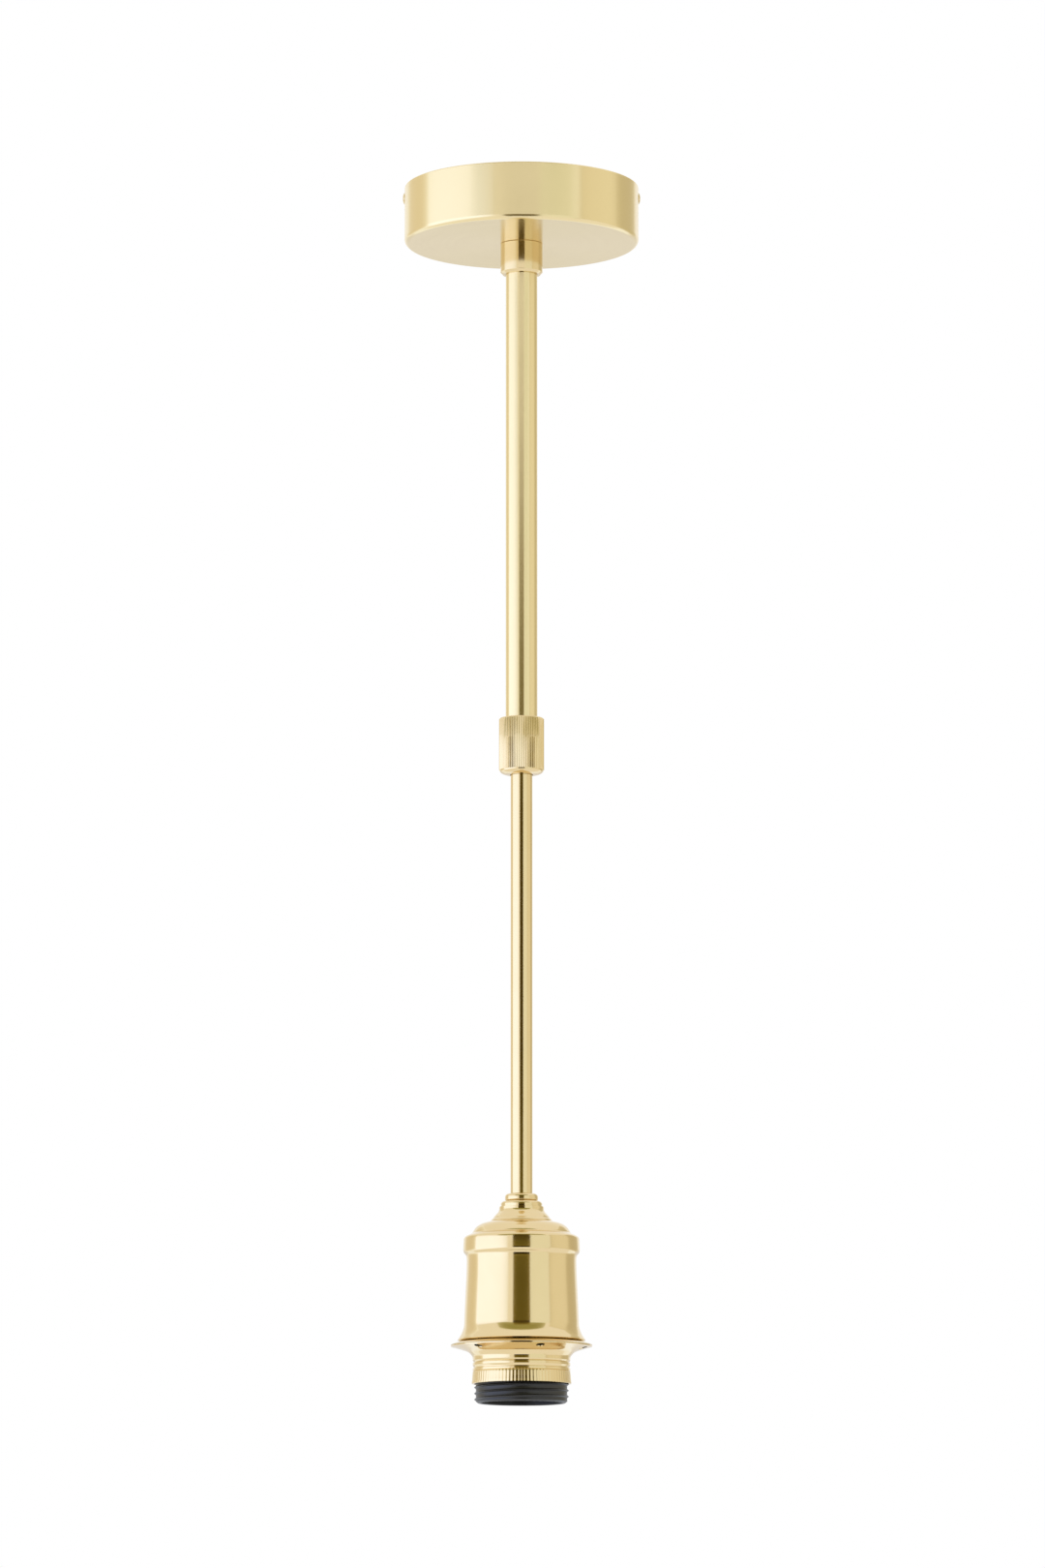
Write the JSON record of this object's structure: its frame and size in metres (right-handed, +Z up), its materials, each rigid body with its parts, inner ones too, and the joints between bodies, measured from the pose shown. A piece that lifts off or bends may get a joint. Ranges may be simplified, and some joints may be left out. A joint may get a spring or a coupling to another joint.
{
  "type": "rise and fall pendant",
  "caption": "Brass ceiling pendant whose rod slides in a tube and is held by a knurled collar, with a flanged lampholder.",
  "frame": {"origin": "on the ceiling plane, at the middle of the ceiling strap's top face", "axes": "+Z up into the ceiling, along the rod; +X towards one side screw of the rose; -Y towards the viewer of the picture"},
  "size_m": [0.1028, 0.1, 0.5183],
  "materials": {
    "satin_brass": "satin, brushed round the axis",
    "polished_brass": "polished",
    "inner_brass": "plain turned",
    "zinc_steel": "zinc plated",
    "white_moulding": "matt",
    "black_moulding": "satin black phenolic",
    "ceramic": "glazed ceramic",
    "black_lead": "matt sheath",
    "brown_insulation": "matt",
    "blue_insulation": "matt",
    "earth_insulation": "green and yellow, matt",
    "nickel_plate": "nickel plated"
  },
  "bodies": {
    "ceiling_side": {"rose_cup": "satin_brass", "mounting_bracket": "zinc_steel", "rose_side_screws": "polished_brass", "terminal_block": "white_moulding", "terminal_tubes": "inner_brass", "terminal_screws": "zinc_steel", "block_screw": "zinc_steel", "earth_screw": "zinc_steel", "earth_washer": "zinc_steel", "earth_link": "earth_insulation", "brown_core": "brown_insulation", "blue_core": "blue_insulation", "cord_grip": "white_moulding", "grip_screws": "zinc_steel", "hollow_nipple": "inner_brass", "nipple_locknut": "inner_brass", "star_washer": "zinc_steel", "stem_boss": "polished_brass", "upper_tube": "satin_brass", "tube_end_bush": "inner_brass", "collet": "inner_brass", "upper_lead": "black_lead", "curled_lead": "black_lead"},
    "thrust": {"thrust_ring": "white_moulding"},
    "collar": {"clamp_collar": "polished_brass"},
    "guide": {"guide_bush": "white_moulding"},
    "drop_rod": {"rod_rings": "zinc_steel", "lower_rod": "polished_brass", "lower_lead": "black_lead", "entry_locknut": "polished_brass", "cover_ferrule": "polished_brass", "brass_cover": "polished_brass", "holder_cap": "black_moulding", "terminal_carrier": "ceramic", "holder_terminals": "inner_brass", "holder_terminal_screws": "zinc_steel", "brown_drop_core": "brown_insulation", "blue_drop_core": "blue_insulation", "screw_shell": "nickel_plate", "shell_rivets": "nickel_plate", "contact_spring": "zinc_steel", "skirt": "black_moulding"},
    "contact": {"centre_contact": "nickel_plate"},
    "washer": {"clamp_washer": "polished_brass"},
    "gallery": {"gallery_ring": "polished_brass"}
  },
  "joints": [
    {"name": "rise_fall", "type": "slide", "parent": "ceiling_side", "child": "guide", "axis": [0, 0, 1], "range_m": [0, 0.13], "deforming": ["curled_lead"]},
    {"name": "rod_swivel", "type": "hinge", "parent": "guide", "child": "drop_rod", "pos_m": [0, 0, -0.214], "axis": [0, 0, 1], "range_deg": [-170, 170]},
    {"name": "collar_advance", "type": "slide", "parent": "ceiling_side", "child": "thrust", "axis": [0, 0, 1], "range_m": [-0.0015, 0]},
    {"name": "collar_turn", "type": "hinge", "parent": "thrust", "child": "collar", "pos_m": [0, 0, -0.2415], "axis": [0, 0, 1], "range_deg": [-540, 0]},
    {"name": "gallery_travel", "type": "slide", "parent": "drop_rod", "child": "washer", "axis": [0, 0, 1], "range_m": [-0.0075, 0]},
    {"name": "gallery_turn", "type": "hinge", "parent": "washer", "child": "gallery", "pos_m": [0, 0, -0.5025], "axis": [0, 0, 1], "range_deg": [-1080, 0]},
    {"name": "centre_contact_press", "type": "slide", "parent": "drop_rod", "child": "contact", "axis": [0, 0, 1], "range_m": [0, 0.0015], "stiffness_N_per_m": 800, "deforming": ["contact_spring"]}
  ],
  "couplings": [
    {"joint": "collar_turn", "follows": "collar_advance", "rad_per_m": 6283.2},
    {"joint": "gallery_turn", "follows": "gallery_travel", "rad_per_m": 2513.3}
  ]
}
